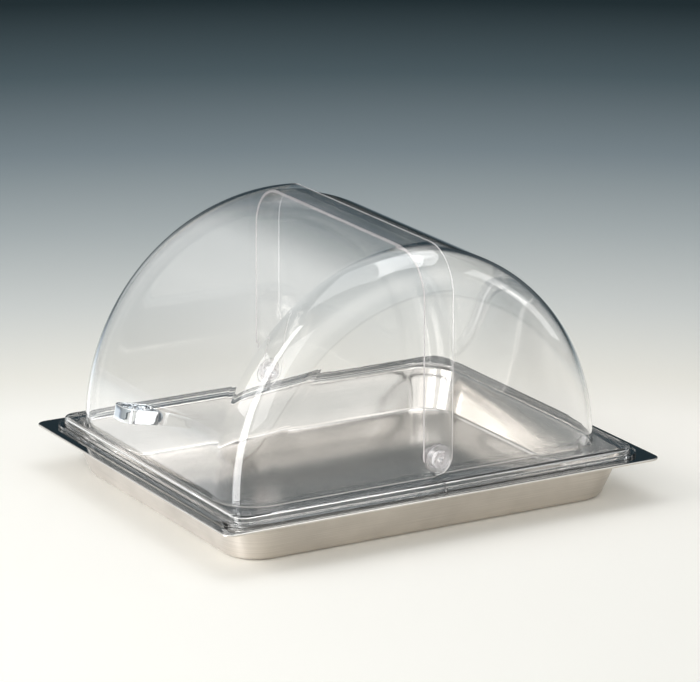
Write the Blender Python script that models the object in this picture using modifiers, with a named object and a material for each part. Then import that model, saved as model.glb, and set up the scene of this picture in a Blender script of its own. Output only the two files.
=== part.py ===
"""Countertop bread display: a steel tray under a clear roll-top cover in two halves.

The right half of the cover stands still. The left half is a larger shell of the same form, and rolls
over it about two pivots in the end walls. The whole cover lifts off the tray.

Metres, +Z up. X runs along the tray's long side, Y away from the front, and the tray stands on Z = 0.
"""

import math

import bmesh
import bpy
import numpy as np
from mathutils import Matrix

# Tray: one drawn sheet with a flat rim, whose edge is folded under
TRAY_LENGTH = 0.440
TRAY_WIDTH = 0.374
TRAY_HEIGHT = 0.040
TRAY_SHEET = 0.001
TRAY_RIM_WIDTH = 0.0165
TRAY_RIM_CORNER = 0.009
TRAY_HEM_WIDTH = 0.005
TRAY_MOUTH_CORNER = 0.037
TRAY_FLOOR_CORNER = 0.031
TRAY_WALL_LEAN = 0.014
TRAY_FLOOR_ROUND = 0.005
TRAY_RIM_BEND = 0.002

# Cover, both halves: a flange on the rim, a low base wall, a ledge and the vault above it
COVER_WALL = 0.0025
COVER_GAP = 0.003
COVER_INSET = 0.011
COVER_SIDE_LIP = 0.007
COVER_END_LIP = 0.004
COVER_FLANGE_HEIGHT = 0.0025
COVER_FLANGE_CORNER = 0.020
COVER_BASE_HEIGHT = 0.0087
COVER_BASE_CORNER = 0.014
COVER_BASE_ROUND = 0.002
COVER_SIDE_LEDGE = 0.0045
COVER_END_LEDGE = 0.014
COVER_END_ROUND = 0.040
COVER_SEAM = 0.0006
SEAM_OFF_MIDDLE = 0.0035
ARCH_ABOVE_LEDGE = 0.001
FOOT_FLARE = 0.001
FOOT_RISE = 0.002

# The left half has to roll over the right one, whose arch is drawn about a centre behind the pivots
FIXED_CLEARANCE = 0.0015
FIXED_CENTRE_SHIFT = 0.0138
ROLLING_OVERLAP = 0.016
FIXED_OVERLAP = 0.010

# Pivots: a flanged bush through both end walls, a headed pin in it and a clip inside
PIVOT_FLANGE_RADIUS = 0.013
PIVOT_FLANGE_THICKNESS = 0.0035
PIVOT_FLANGE_STEP = 0.0025
PIVOT_FLANGE_OVER_LEDGE = 0.004
PIVOT_SLEEVE_RADIUS = 0.006
PIVOT_SLEEVE_REACH = 0.0025
PIVOT_BOSS_RADIUS = 0.0095
PIN_HEAD_RADIUS = 0.0082
PIN_HEAD_HEIGHT = 0.0045
PIN_HEAD_ROUND = 0.0015
PIN_RADIUS = 0.003
CLIP_RADIUS = 0.0075
CLIP_THICKNESS = 0.003
CLIP_ROUND = 0.0008

# Grip: a chromed strap bent to an open ring, with a threaded boss behind each foot
GRIP_WIDTH = 0.028
GRIP_REACH = 0.036
GRIP_CORNER_SHARE = 0.39
GRIP_FOOT_BEND = 0.004
GRIP_FOOT_OPENING = 0.008
GRIP_STRAP_HEIGHT = 0.013
GRIP_STRAP_THICKNESS = 0.0024
GRIP_STRAP_ROUND = 0.0007
GRIP_RISE = 0.043
GRIP_BOSS_RADIUS = 0.0034
GRIP_BOSS_LENGTH = 0.0075
SCREW_RADIUS = 0.002
SCREW_GRIP_DEPTH = 0.006
SCREW_HEAD_RADIUS = 0.0038
SCREW_HEAD_HEIGHT = 0.0024
SCREW_RECESS_RADIUS = 0.0012
SCREW_RECESS_DEPTH = 0.0012
WASHER_RADIUS = 0.0050
WASHER_THICKNESS = 0.001

# Clearances
SEAT_GAP = 0.0003
TURNING_GAP = 0.0003
OVERRUN = 0.010
JOIN_OVERLAP = 0.0002

# Facets
CORNER_STEPS = 8
ROUND_STEPS = 4
ARCH_STEPS = 40
TURN_STEPS = 28
BOW_STEPS = 8

# Places that follow from the sizes above
FLANGE_HALF_LENGTH = TRAY_LENGTH / 2 - COVER_INSET
FLANGE_HALF_WIDTH = TRAY_WIDTH / 2 - COVER_INSET
BASE_HALF_LENGTH = FLANGE_HALF_LENGTH - COVER_SIDE_LIP
BASE_HALF_WIDTH = FLANGE_HALF_WIDTH - COVER_END_LIP
FLANGE_BOTTOM = TRAY_HEIGHT + SEAT_GAP
LEDGE_TOP = FLANGE_BOTTOM + COVER_BASE_HEIGHT
ARCH_HEIGHT = LEDGE_TOP + ARCH_ABOVE_LEDGE
PIVOT_HEIGHT = LEDGE_TOP + PIVOT_FLANGE_RADIUS + PIVOT_FLANGE_OVER_LEDGE
ROLLING_RADIUS = BASE_HALF_LENGTH + SEAM_OFF_MIDDLE - COVER_SIDE_LEDGE
ROLLING_HALF_DEPTH = BASE_HALF_WIDTH - COVER_END_LEDGE
FIXED_RADIUS = ROLLING_RADIUS - COVER_WALL - FIXED_CLEARANCE
FIXED_HALF_DEPTH = ROLLING_HALF_DEPTH - COVER_WALL - COVER_GAP
FIXED_CENTRE = SEAM_OFF_MIDDLE - FIXED_CENTRE_SHIFT
GRIP_LEAN = math.asin(GRIP_RISE / ROLLING_RADIUS)
GRIP_SCREW_HALF_SPAN = (GRIP_WIDTH / 2 - GRIP_FOOT_BEND + GRIP_FOOT_OPENING / 2) / 2
GRIP_SCREWS = (("front", -GRIP_SCREW_HALF_SPAN), ("rear", GRIP_SCREW_HALF_SPAN))

STEEL = ("brushed_stainless_steel", (0.60, 0.58, 0.54), 0.28, 1.0)
CLEAR = ("clear_styrene_acrylonitrile", (0.86, 0.88, 0.88), 0.04, 0.0)
CHROME = ("chrome_plate", (0.80, 0.81, 0.82), 0.05, 1.0)
SCREW_STEEL = ("zinc_plated_steel", (0.62, 0.63, 0.64), 0.35, 1.0)


def clear_scene():
    """Removes whatever the scene holds."""
    for thing in list(bpy.data.objects):
        bpy.data.objects.remove(thing, do_unlink=True)


def new_collection(name):
    group = bpy.data.collections.new(name)
    bpy.context.scene.collection.children.link(group)
    return group


def finish_of(name, colour, roughness, metallic):
    """A Principled material, made once for each finish."""
    made = bpy.data.materials.get(name)
    if made:
        return made
    made = bpy.data.materials.new(name)
    made.use_nodes = True
    shader = made.node_tree.nodes["Principled BSDF"]
    shader.inputs["Base Color"].default_value = (*colour, 1.0)
    shader.inputs["Roughness"].default_value = roughness
    shader.inputs["Metallic"].default_value = metallic
    return made


def mesh_object(name, points, faces, group):
    """An object from points and faces, with every face turned outward."""
    mesh = bpy.data.meshes.new(name)
    mesh.from_pydata([tuple(p) for p in points], [], faces)
    work = bmesh.new()
    work.from_mesh(mesh)
    bmesh.ops.recalc_face_normals(work, faces=work.faces)
    work.to_mesh(mesh)
    work.free()
    thing = bpy.data.objects.new(name, mesh)
    group.objects.link(thing)
    return thing


def loft(name, rings, group):
    """A closed solid through rings of equal count, with a flat cap on the first and the last."""
    count = len(rings[0])
    faces = [list(range(count))]
    for level in range(len(rings) - 1):
        low = level * count
        high = low + count
        for i in range(count):
            j = (i + 1) % count
            faces.append([low + i, low + j, high + j, high + i])
    last = (len(rings) - 1) * count
    faces.append(list(range(last, last + count)))
    return mesh_object(name, np.concatenate(rings), faces, group)


def rounded_rectangle(half_length, half_width, corner, height):
    """One level ring: a rectangle whose four corners are quarter circles."""
    points = []
    for quarter in range(4):
        side_x = 1 if quarter in (0, 3) else -1
        side_y = 1 if quarter in (0, 1) else -1
        for step in range(CORNER_STEPS + 1):
            angle = (quarter + step / CORNER_STEPS) * math.pi / 2
            x = side_x * (half_length - corner) + corner * math.cos(angle)
            y = side_y * (half_width - corner) + corner * math.sin(angle)
            points.append((x, y, height))
    return np.array(points)


def rounded_path(corners, radii, steps=ROUND_STEPS):
    """A path through corners in a plane, each corner with a radius turned into an arc."""
    path = [np.array(corners[0])]
    for i in range(1, len(corners) - 1):
        corner = np.array(corners[i])
        radius = radii[i]
        if radius == 0:
            path.append(corner)
            continue
        back = np.array(corners[i - 1]) - corner
        ahead = np.array(corners[i + 1]) - corner
        back /= np.linalg.norm(back)
        ahead /= np.linalg.norm(ahead)
        half = math.acos(float(back @ ahead)) / 2
        centre = corner + (back + ahead) / np.linalg.norm(back + ahead) * radius / math.sin(half)
        start = corner + back * radius / math.tan(half) - centre
        end = corner + ahead * radius / math.tan(half) - centre
        sweep = math.pi - 2 * half
        for step in range(steps + 1):
            share = step / steps
            blend = math.sin((1 - share) * sweep) * start + math.sin(share * sweep) * end
            path.append(centre + blend / math.sin(sweep))
    path.append(np.array(corners[-1]))
    return path


def tray_corner(inset):
    """The plan corner radius of the tray at a distance inside the rim's edge."""
    places = [0, TRAY_RIM_WIDTH, TRAY_RIM_WIDTH + TRAY_WALL_LEAN]
    return float(np.interp(inset, places, [TRAY_RIM_CORNER, TRAY_MOUTH_CORNER, TRAY_FLOOR_CORNER]))


def make_tray(group):
    """The sheet's underside from the floor out to the folded edge, then its top side back in."""
    mouth = TRAY_RIM_WIDTH
    foot = TRAY_RIM_WIDTH + TRAY_WALL_LEAN
    inner_floor = foot + TRAY_FLOOR_CORNER / 2
    under = rounded_path(
        [
            (inner_floor, 0),
            (foot, 0),
            (mouth, TRAY_HEIGHT - TRAY_SHEET),
            (TRAY_HEM_WIDTH, TRAY_HEIGHT - TRAY_SHEET),
            (TRAY_HEM_WIDTH, TRAY_HEIGHT - 2 * TRAY_SHEET),
            (0, TRAY_HEIGHT - 2 * TRAY_SHEET),
            (0, TRAY_HEIGHT - TRAY_SHEET),
        ],
        [0, TRAY_FLOOR_ROUND + TRAY_SHEET, TRAY_RIM_BEND, 0, 0, TRAY_SHEET / 2, 0],
    )
    lean = math.atan2(TRAY_WALL_LEAN, TRAY_HEIGHT - TRAY_SHEET)
    shift = TRAY_SHEET / math.cos(lean) - TRAY_SHEET * math.tan(lean)
    over = rounded_path(
        [
            (0, TRAY_HEIGHT - TRAY_SHEET),
            (0, TRAY_HEIGHT),
            (mouth + shift, TRAY_HEIGHT),
            (foot + shift, TRAY_SHEET),
            (inner_floor, TRAY_SHEET),
        ],
        [0, TRAY_SHEET / 2, TRAY_RIM_BEND + TRAY_SHEET, TRAY_FLOOR_ROUND, 0],
    )
    rings = []
    for inset, height in under + over[1:]:
        half_length = TRAY_LENGTH / 2 - inset
        half_width = TRAY_WIDTH / 2 - inset
        rings.append(rounded_rectangle(half_length, half_width, tray_corner(inset), height))
    return loft("tray", rings, group)


def vault(name, centre, radius, half_depth, end_round, floor, group):
    """The vault as a solid: arches along Y, which shrink by a quarter circle towards each end."""
    stations = []
    for step in range(CORNER_STEPS + 1):
        angle = step / CORNER_STEPS * math.pi / 2
        y = half_depth - end_round * (1 - math.cos(angle))
        stations.append((y, end_round * (1 - math.sin(angle))))
    stations = [(-y, drop) for y, drop in stations] + [(y, drop) for y, drop in reversed(stations)]
    rings = []
    for y, drop in stations:
        reach = radius - drop
        ring = [(centre + reach, y, floor)]
        for step in range(ARCH_STEPS + 1):
            angle = math.pi * step / ARCH_STEPS
            ring.append((centre + reach * math.cos(angle), y, ARCH_HEIGHT + reach * math.sin(angle)))
        ring.append((centre - reach, y, floor))
        rings.append(np.array(ring))
    return loft(name, rings, group)


def foot_levels(half_length, half_depth, end_round, bottom):
    """The hollow curve between ledge and vault, as level rings that end just inside the vault."""
    rings = []
    for step in range(ROUND_STEPS + 1):
        angle = step / ROUND_STEPS * math.pi / 2
        flare = FOOT_FLARE * (1 - math.sin(angle))
        if step == ROUND_STEPS:
            flare = -JOIN_OVERLAP
        level = bottom + FOOT_RISE * (1 - math.cos(angle))
        corner = end_round + flare
        rings.append(rounded_rectangle(half_length + flare, half_depth + flare, corner, level))
    return rings


def base_outside(name, foot_length, foot_depth, group):
    """The outer form of flange, base wall and ledge."""
    flange_top = FLANGE_BOTTOM + COVER_FLANGE_HEIGHT
    rings = [
        rounded_rectangle(FLANGE_HALF_LENGTH, FLANGE_HALF_WIDTH, COVER_FLANGE_CORNER, FLANGE_BOTTOM),
        rounded_rectangle(FLANGE_HALF_LENGTH, FLANGE_HALF_WIDTH, COVER_FLANGE_CORNER, flange_top),
        rounded_rectangle(BASE_HALF_LENGTH, BASE_HALF_WIDTH, COVER_BASE_CORNER, flange_top),
    ]
    for step in range(ROUND_STEPS + 1):
        angle = step / ROUND_STEPS * math.pi / 2
        inset = COVER_BASE_ROUND * (1 - math.cos(angle))
        level = LEDGE_TOP - COVER_BASE_ROUND * (1 - math.sin(angle))
        half_length = BASE_HALF_LENGTH - inset
        half_width = BASE_HALF_WIDTH - inset
        rings.append(rounded_rectangle(half_length, half_width, COVER_BASE_CORNER - inset, level))
    rings += foot_levels(foot_length, foot_depth, COVER_END_ROUND, LEDGE_TOP)
    return loft(name, rings, group)


def base_inside(name, foot_length, foot_depth, group):
    """The hollow of the base, one wall inside the outer form."""
    half_length = BASE_HALF_LENGTH - COVER_WALL
    half_width = BASE_HALF_WIDTH - COVER_WALL
    corner = COVER_BASE_CORNER - COVER_WALL
    top = LEDGE_TOP - COVER_WALL
    rings = [
        rounded_rectangle(half_length, half_width, corner, FLANGE_BOTTOM - OVERRUN),
        rounded_rectangle(half_length, half_width, corner, top),
    ]
    foot = foot_levels(foot_length - COVER_WALL, foot_depth - COVER_WALL, COVER_END_ROUND - COVER_WALL, top)
    return loft(name, rings + foot, group)


def flat_outline(name, points, half_thickness, group):
    """A flat outline as a filled 2D curve with a thickness, made a mesh for later cuts."""
    curve = bpy.data.curves.new(name, "CURVE")
    curve.dimensions = "2D"
    curve.fill_mode = "BOTH"
    curve.extrude = half_thickness
    line = curve.splines.new("POLY")
    line.points.add(len(points) - 1)
    for point, (x, y) in zip(line.points, points):
        point.co = (x, y, 0, 1)
    line.use_cyclic_u = True
    drawn = bpy.data.objects.new(name + "_outline", curve)
    group.objects.link(drawn)
    mesh = bpy.data.meshes.new_from_object(drawn)
    bpy.data.objects.remove(drawn, do_unlink=True)
    work = bmesh.new()
    work.from_mesh(mesh)
    bmesh.ops.remove_doubles(work, verts=work.verts, dist=JOIN_OVERLAP / 10)
    bmesh.ops.recalc_face_normals(work, faces=work.faces)
    work.to_mesh(mesh)
    work.free()
    mesh.name = name
    thing = bpy.data.objects.new(name, mesh)
    group.objects.link(thing)
    return thing


def half_outline(side, overlap):
    """What one half keeps, seen from the front: up to the seam below, past the pivot above."""
    far = SEAM_OFF_MIDDLE + side * (TRAY_LENGTH / 2 + OVERRUN)
    seam = SEAM_OFF_MIDDLE + side * COVER_SEAM / 2
    top = ARCH_HEIGHT + ROLLING_RADIUS + OVERRUN
    bottom = FLANGE_BOTTOM - OVERRUN / 2
    points = [(far, top), (far, bottom), (seam, bottom)]
    start = -math.asin(COVER_SEAM / 2 / overlap)
    for step in range(CORNER_STEPS + 1):
        angle = start + (math.pi / 2 - start) * step / CORNER_STEPS
        x = SEAM_OFF_MIDDLE - side * overlap * math.sin(angle)
        points.append((x, PIVOT_HEIGHT - overlap * math.cos(angle)))
    points.append((SEAM_OFF_MIDDLE - side * overlap, top))
    return points


def pillar(name, radius, start, end, group):
    """A cylinder along its own Z axis, from start to end."""
    mesh = bpy.data.meshes.new(name)
    work = bmesh.new()
    bmesh.ops.create_cone(
        work,
        cap_ends=True,
        segments=TURN_STEPS,
        radius1=radius,
        radius2=radius,
        depth=end - start,
        matrix=Matrix.Translation((0, 0, (start + end) / 2)),
    )
    work.to_mesh(mesh)
    work.free()
    thing = bpy.data.objects.new(name, mesh)
    group.objects.link(thing)
    return thing


def pivot_pillar(name, radius, start, end, group):
    """A cylinder on the pivot axis, from start to end along Y."""
    thing = pillar(name, radius, start, end, group)
    thing.location = (SEAM_OFF_MIDDLE, 0, PIVOT_HEIGHT)
    thing.rotation_euler = (-math.pi / 2, 0, 0)
    return thing


def add_boolean(thing, other, operation):
    change = thing.modifiers.new(operation.lower() + "_" + other.name, "BOOLEAN")
    change.operation = operation
    change.solver = "EXACT"
    change.object = other


def make_half(name, side, centre, radius, half_depth, overlap, group, cutters):
    """One half of the cover: outer form, less the inner form, kept on one side of the seam."""
    foot_length = radius + side * centre
    inner_radius = radius - COVER_WALL
    inner_depth = half_depth - COVER_WALL
    inner_round = COVER_END_ROUND - COVER_WALL
    floor = LEDGE_TOP - COVER_WALL / 2
    inner_floor = LEDGE_TOP - 2 * COVER_WALL
    shell = base_outside(name, foot_length, half_depth, group)
    form = vault(name + "_form", centre, radius, half_depth, COVER_END_ROUND, floor, cutters)
    core = vault(name + "_core", centre, inner_radius, inner_depth, inner_round, inner_floor, cutters)
    hollow = base_inside(name + "_hollow", foot_length, half_depth, cutters)
    kept = flat_outline(name + "_kept", half_outline(side, overlap), TRAY_WIDTH, cutters)
    kept.rotation_euler = (math.pi / 2, 0, 0)
    add_boolean(shell, form, "UNION")
    add_boolean(shell, hollow, "DIFFERENCE")
    add_boolean(shell, core, "DIFFERENCE")
    add_boolean(shell, kept, "INTERSECT")
    return shell


def drill_pivots(shell, radius, cutters):
    """A hole for the bushes through both end walls."""
    drill = pivot_pillar(shell.name + "_drill", radius, -TRAY_WIDTH, TRAY_WIDTH, cutters)
    add_boolean(shell, drill, "DIFFERENCE")


def make_fixed_cover(group, cutters):
    """The right half, with a round boss on each end wall that keeps the halves apart."""
    sizes = (FIXED_CENTRE, FIXED_RADIUS, FIXED_HALF_DEPTH, FIXED_OVERLAP)
    shell = make_half("fixed_cover", 1, *sizes, group, cutters)
    inside = FIXED_HALF_DEPTH - COVER_WALL / 2
    outside = FIXED_HALF_DEPTH + COVER_GAP - TURNING_GAP
    for end, start, stop in (("front", -outside, -inside), ("rear", inside, outside)):
        boss = pivot_pillar(end + "_boss", PIVOT_BOSS_RADIUS, start, stop, cutters)
        add_boolean(shell, boss, "UNION")
    drill_pivots(shell, PIVOT_SLEEVE_RADIUS + SEAT_GAP, cutters)
    return shell


def make_rolling_cover(group, cutters):
    """The left half, with the pivot holes and the two screw holes of the grip."""
    sizes = (SEAM_OFF_MIDDLE, ROLLING_RADIUS, ROLLING_HALF_DEPTH, ROLLING_OVERLAP)
    shell = make_half("rolling_cover", -1, *sizes, group, cutters)
    drill_pivots(shell, PIVOT_SLEEVE_RADIUS + TURNING_GAP, cutters)
    for end, y in GRIP_SCREWS:
        screw_hole = pillar(end + "_screw_hole", SCREW_RADIUS + SEAT_GAP, -OVERRUN, OVERRUN, cutters)
        place_on_grip(screw_hole, y)
        add_boolean(shell, screw_hole, "DIFFERENCE")
    return shell


def turned(name, profile, group, closed=False):
    """A turned solid: a profile in radius and height, carried round Z by a Screw modifier."""
    mesh = bpy.data.meshes.new(name)
    edges = [(i, i + 1) for i in range(len(profile) - 1)]
    if closed:
        edges.append((len(profile) - 1, 0))
    mesh.from_pydata([(radius, 0, height) for radius, height in profile], edges, [])
    thing = bpy.data.objects.new(name, mesh)
    group.objects.link(thing)
    turn = thing.modifiers.new("turn", "SCREW")
    turn.angle = 2 * math.pi
    turn.steps = TURN_STEPS
    turn.render_steps = TURN_STEPS
    turn.use_merge_vertices = True
    turn.merge_threshold = 0.00001
    turn.use_smooth_shade = True
    return thing


def quarter(centre, radius, start, steps=ROUND_STEPS):
    """Profile points on a quarter circle, clockwise from an angle in right angles."""
    points = []
    for step in range(steps + 1):
        angle = (start - step / steps) * math.pi / 2
        points.append((centre[0] + radius * math.cos(angle), centre[1] + radius * math.sin(angle)))
    return points


def make_pivot(end, group):
    """Bush, pin and clip of one pivot. Height zero is the outer face of the rolling end wall."""
    under = SEAT_GAP
    rim = under + PIVOT_FLANGE_STEP
    face = under + PIVOT_FLANGE_THICKNESS
    edge = PIVOT_FLANGE_THICKNESS - PIVOT_FLANGE_STEP
    sleeve_end = -(2 * COVER_WALL + COVER_GAP + PIVOT_SLEEVE_REACH)
    bore = PIN_RADIUS + SEAT_GAP
    bush = turned(
        end + "_pivot_bush",
        [
            (bore, face),
            *quarter((PIVOT_FLANGE_RADIUS - edge, rim), edge, 1),
            (PIVOT_FLANGE_RADIUS, under),
            (PIVOT_SLEEVE_RADIUS, under),
            (PIVOT_SLEEVE_RADIUS, sleeve_end),
            (bore, sleeve_end),
        ],
        group,
        closed=True,
    )
    seat = face + SEAT_GAP
    crown = seat + PIN_HEAD_HEIGHT
    clip_near = sleeve_end - SEAT_GAP
    clip_far = clip_near - CLIP_THICKNESS
    pin = turned(
        end + "_pivot_pin",
        [
            (0, crown),
            *quarter((PIN_HEAD_RADIUS - PIN_HEAD_ROUND, crown - PIN_HEAD_ROUND), PIN_HEAD_ROUND, 1),
            (PIN_HEAD_RADIUS, seat),
            (PIN_RADIUS, seat),
            (PIN_RADIUS, clip_far - CLIP_ROUND),
            (0, clip_far - CLIP_ROUND),
        ],
        group,
    )
    clip = turned(
        end + "_pivot_clip",
        [
            (bore, clip_near),
            (CLIP_RADIUS, clip_near),
            *quarter((CLIP_RADIUS - CLIP_ROUND, clip_far + CLIP_ROUND), CLIP_ROUND, 0),
            (bore, clip_far),
        ],
        group,
        closed=True,
    )
    side = -1 if end == "front" else 1
    for piece in (bush, pin, clip):
        piece.location = (SEAM_OFF_MIDDLE, side * ROLLING_HALF_DEPTH, PIVOT_HEIGHT)
        piece.rotation_euler = (-side * math.pi / 2, 0, 0)
    return [bush, pin, clip]


def place_on_grip(thing, y):
    """Sets a piece on the vault where the grip sits, its Z axis along the outward normal."""
    reach = ROLLING_RADIUS * math.cos(GRIP_LEAN)
    thing.location = (SEAM_OFF_MIDDLE - reach, y, ARCH_HEIGHT + GRIP_RISE)
    thing.rotation_euler = (0, GRIP_LEAN - math.pi / 2, 0)


def beside(path, distance):
    """An open path moved sideways, to the left of its run."""
    path = np.array(path)
    runs = np.diff(path, axis=0)
    runs /= np.linalg.norm(runs, axis=1, keepdims=True)
    left = np.column_stack((-runs[:, 1], runs[:, 0]))
    shift = np.vstack((left[:1], left[:-1] + left[1:], left[-1:]))
    reach = np.vstack((left[:1], left))
    shift /= np.sum(shift * reach, axis=1, keepdims=True)
    return path + distance * shift


def make_grip(group, cutters):
    """The open ring: feet turned inward on the vault, two legs and a round outer run."""
    half = GRIP_WIDTH / 2
    tip = GRIP_FOOT_OPENING / 2
    crest = -(SEAT_GAP + GRIP_REACH)
    corner = GRIP_CORNER_SHARE * GRIP_WIDTH
    outer = rounded_path(
        [
            (-SEAT_GAP, tip),
            (-SEAT_GAP, half),
            (crest, half),
            (crest, -half),
            (-SEAT_GAP, -half),
            (-SEAT_GAP, -tip),
        ],
        [0, GRIP_FOOT_BEND, corner, corner, GRIP_FOOT_BEND, 0],
        BOW_STEPS,
    )
    inner = beside(outer, GRIP_STRAP_THICKNESS)
    outline = np.vstack((outer, inner[::-1]))
    bow = flat_outline("grip_bow", outline, GRIP_STRAP_HEIGHT / 2, group)
    turn_up = bow.modifiers.new("edges", "BEVEL")
    turn_up.width = GRIP_STRAP_ROUND
    turn_up.segments = 2
    turn_up.limit_method = "ANGLE"
    place_on_grip(bow, 0)
    bow.rotation_euler = (0, GRIP_LEAN, 0)
    boss_start = SEAT_GAP + GRIP_STRAP_THICKNESS / 2
    boss_end = SEAT_GAP + GRIP_BOSS_LENGTH
    hole_end = SCREW_GRIP_DEPTH + SEAT_GAP
    for end, y in GRIP_SCREWS:
        boss = pillar(end + "_grip_boss", GRIP_BOSS_RADIUS, boss_start, boss_end, cutters)
        place_on_grip(boss, y)
        add_boolean(bow, boss, "UNION")
    for end, y in GRIP_SCREWS:
        hole = pillar(end + "_grip_hole", SCREW_RADIUS + SEAT_GAP, -OVERRUN, hole_end, cutters)
        place_on_grip(hole, y)
        add_boolean(bow, hole, "DIFFERENCE")
    return bow


def make_grip_fasteners(group):
    """The two screws from inside the rolling half, each with its washer."""
    bore = SCREW_RADIUS + SEAT_GAP
    near = -(COVER_WALL + SEAT_GAP)
    far = near - WASHER_THICKNESS
    seat = far - SEAT_GAP
    crown = seat - SCREW_HEAD_HEIGHT
    made = []
    for end, y in GRIP_SCREWS:
        washer = turned(
            end + "_grip_washer",
            [(bore, near), (WASHER_RADIUS, near), (WASHER_RADIUS, far), (bore, far)],
            group,
            closed=True,
        )
        screw = turned(
            end + "_grip_screw",
            [
                (0, SCREW_GRIP_DEPTH),
                (SCREW_RADIUS, SCREW_GRIP_DEPTH),
                (SCREW_RADIUS, seat),
                (SCREW_HEAD_RADIUS, seat),
                (SCREW_HEAD_RADIUS, (seat + crown) / 2),
                (SCREW_RECESS_RADIUS, crown),
                (SCREW_RECESS_RADIUS, crown + SCREW_RECESS_DEPTH),
                (0, crown + SCREW_RECESS_DEPTH),
            ],
            group,
        )
        for piece in (washer, screw):
            place_on_grip(piece, y)
            made.append(piece)
    return made


def hang_on(parent, things):
    """Parents things to an empty and leaves them where they are."""
    bpy.context.view_layer.update()
    for thing in things:
        thing.parent = parent
        thing.matrix_parent_inverse = parent.matrix_world.inverted()


def empty_at(name, place, group):
    marker = bpy.data.objects.new(name, None)
    marker.location = place
    group.objects.link(marker)
    return marker


def main():
    clear_scene()
    parts = new_collection("bread_display")
    cutters = new_collection("cutters")
    tray = make_tray(parts)
    fixed = make_fixed_cover(parts, cutters)
    rolling = make_rolling_cover(parts, cutters)
    pivots = make_pivot("front", parts) + make_pivot("rear", parts)
    bow = make_grip(parts, cutters)
    fasteners = make_grip_fasteners(parts)
    for thing, finish in (
        (tray, STEEL),
        (fixed, CLEAR),
        (rolling, CLEAR),
        (bow, CHROME),
        *((piece, CLEAR) for piece in pivots),
        *((piece, SCREW_STEEL) for piece in fasteners),
    ):
        thing.data.materials.append(finish_of(*finish))
    for cutter in cutters.objects:
        cutter.hide_render = True
        cutter.display_type = "WIRE"
    lift = empty_at("cover_lift", (0, 0, FLANGE_BOTTOM), parts)
    axis = empty_at("roll_axis", (SEAM_OFF_MIDDLE, 0, PIVOT_HEIGHT), parts)
    hang_on(lift, [fixed, *pivots, axis])
    hang_on(axis, [rolling, bow, *fasteners])


main()
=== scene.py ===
# %% [markdown]
# # A countertop bread display bin
# A drawn steel tray stands under a clear roll-top cover in two halves. The left half rolls over the right
# one about two pivots, and a chromed grip on its lower edge moves it. The measured CAD model is loaded first
# as a frame, and every piece below is drawn in that same frame, in metres, with Z up.

# %% Load the frame
import math

import bmesh
import bpy
import numpy as np
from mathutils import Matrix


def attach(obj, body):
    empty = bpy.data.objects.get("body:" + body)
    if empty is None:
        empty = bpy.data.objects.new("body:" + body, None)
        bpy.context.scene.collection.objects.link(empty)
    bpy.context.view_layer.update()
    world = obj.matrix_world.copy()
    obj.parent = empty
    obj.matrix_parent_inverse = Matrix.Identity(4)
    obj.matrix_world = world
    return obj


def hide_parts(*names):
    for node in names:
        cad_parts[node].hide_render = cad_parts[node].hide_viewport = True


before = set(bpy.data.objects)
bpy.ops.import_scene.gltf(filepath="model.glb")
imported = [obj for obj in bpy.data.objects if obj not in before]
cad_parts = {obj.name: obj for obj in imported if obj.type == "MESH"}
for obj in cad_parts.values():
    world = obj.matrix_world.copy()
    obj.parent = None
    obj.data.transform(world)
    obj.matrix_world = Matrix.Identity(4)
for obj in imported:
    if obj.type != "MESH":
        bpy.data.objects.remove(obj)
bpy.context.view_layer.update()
print("nodes:", sorted(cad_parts))

# %% [markdown]
# ## Colours and nodes
# Colours are written as they look on a screen, in sRGB hex. Blender's sockets want linear light, so one
# function turns them. A second small function adds a node, sets its sockets and links, so that a material
# reads as a short list of what it is made of.

# %% Colour and node helpers
MM = 0.001


def colour(hex_code):
    """Each sRGB channel c in 0..1 becomes ((c + 0.055) / 1.055) ** 2.4, or c / 12.92 where c is small."""
    c = np.array([int(hex_code[i : i + 2], 16) for i in (0, 2, 4)]) / 255
    linear = np.where(c <= 0.04045, c / 12.92, ((c + 0.055) / 1.055) ** 2.4)
    return (*linear.tolist(), 1.0)


def new_material(name):
    """An empty material, and its node tree."""
    made = bpy.data.materials.new(name)
    made.use_nodes = True
    made.node_tree.nodes.clear()
    return made, made.node_tree


def add_node(tree, kind, sockets=None, **settings):
    """One node: its settings by name, and its sockets by name or number, as a value or as an output to link."""
    node = tree.nodes.new(kind)
    for key, value in settings.items():
        setattr(node, key, value)
    for key, value in (sockets or {}).items():
        if isinstance(value, bpy.types.NodeSocket):
            tree.links.new(value, node.inputs[key])
        else:
            node.inputs[key].default_value = value
    return node


print("cream as linear light:", [round(v, 3) for v in colour("F4F1E8")[:3]])

# %% [markdown]
# ## Sizes
# These are the sizes that the CAD model was drawn with. The pieces below are finer skins of the same solids,
# so they take the same values.

# %% Sizes of tray and cover
TRAY_LENGTH, TRAY_WIDTH, TRAY_HEIGHT, SHEET = 440 * MM, 374 * MM, 40 * MM, 1 * MM
RIM_WIDTH, HEM_WIDTH, WALL_LEAN = 16.5 * MM, 5 * MM, 14 * MM
RIM_CORNER, MOUTH_CORNER, FLOOR_CORNER = 9 * MM, 37 * MM, 31 * MM
FLOOR_ROUND, RIM_BEND = 5 * MM, 2 * MM
WALL, END_ROUND, ARCH_Z, LEDGE_Z, FLANGE_Z = 2.5 * MM, 40 * MM, 50 * MM, 49 * MM, 40.3 * MM
FLANGE_HALF = (209 * MM, 176 * MM)
BASE_HALF = (202 * MM, 172 * MM)
FLANGE_CORNER, BASE_CORNER, BASE_ROUND = 20 * MM, 14 * MM, 2 * MM
SEAM_X, SEAM_HALF, PIVOT_Z = 3.5 * MM, 0.3 * MM, 66 * MM
HOLE = 6.3 * MM
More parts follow.
